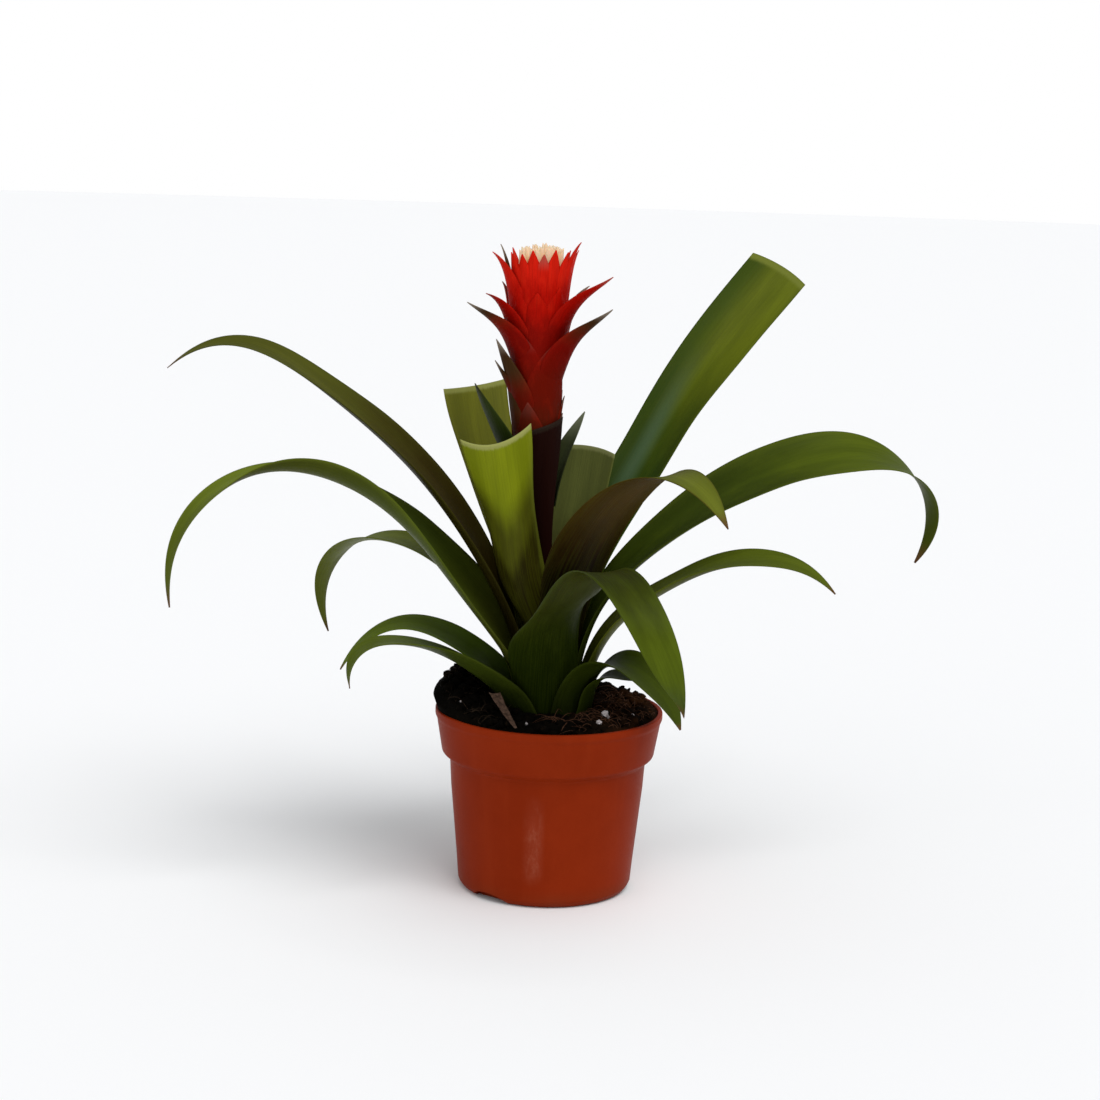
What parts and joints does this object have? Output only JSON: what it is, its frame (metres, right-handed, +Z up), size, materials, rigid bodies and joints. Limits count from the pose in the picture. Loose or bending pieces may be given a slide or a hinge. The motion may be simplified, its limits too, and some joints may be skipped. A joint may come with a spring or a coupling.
{
  "type": "potted guzmania",
  "caption": "Guzmania with strap leaves, some trimmed square, round a red bract spike with cream flower tips, in a round terracotta-coloured plastic nursery pot filled with soil.",
  "frame": {"origin": "middle of the pot's foot, on the surface it stands on", "axes": "+Z is up, the front of the picture is -Y, and +X is to the right in the picture"},
  "size_m": [0.3064, 0.241, 0.2557],
  "materials": {
    "pot": "satin terracotta-coloured moulded plastic with a fine grain",
    "soil": "damp dark peat with fibres and a few white perlite grains",
    "straw": "dry pinkish-brown scrap of old leaf",
    "leaf": "satin deep green leaf with fine lengthwise veins, brown-purple at the base outside",
    "leaf_pale": "satin yellow-green leaf, thin and translucent, with a trimmed edge",
    "leaf_dark": "satin dark maroon sheath leaf",
    "stalk": "matt red-brown flower stalk",
    "stalk_bract": "satin dark green bract with a grey dry tip",
    "bract": "satin red bracts, brown-red and dark towards the foot of the spike",
    "flower": "soft cream flower tips"
  },
  "bodies": {
    "root": {"pot": "pot", "soil": "soil", "straw_scrap": "straw", "leaf_left_high": "leaf", "leaf_left_long": "leaf", "leaf_left_back": "leaf", "leaf_left_low_back": "leaf", "leaf_left_low_front": "leaf", "leaf_left_cut_back": "leaf", "leaf_right_cut_back": "leaf", "leaf_right_cut_high": "leaf", "leaf_right_front_dark": "leaf", "leaf_right_long": "leaf", "leaf_right_mid": "leaf", "leaf_front_right": "leaf", "leaf_right_front_low": "leaf", "leaf_front_right_small": "leaf", "leaf_back_mid": "leaf", "leaf_back_wide": "leaf", "leaf_back_low": "leaf", "leaf_front_cut": "leaf_pale", "leaf_inner_dark": "leaf_dark", "stalk": "stalk", "stalk_bract_left": "stalk_bract", "stalk_bract_right": "stalk_bract", "head_bracts": "bract", "flowers": "flower"}
  },
  "joints": []
}
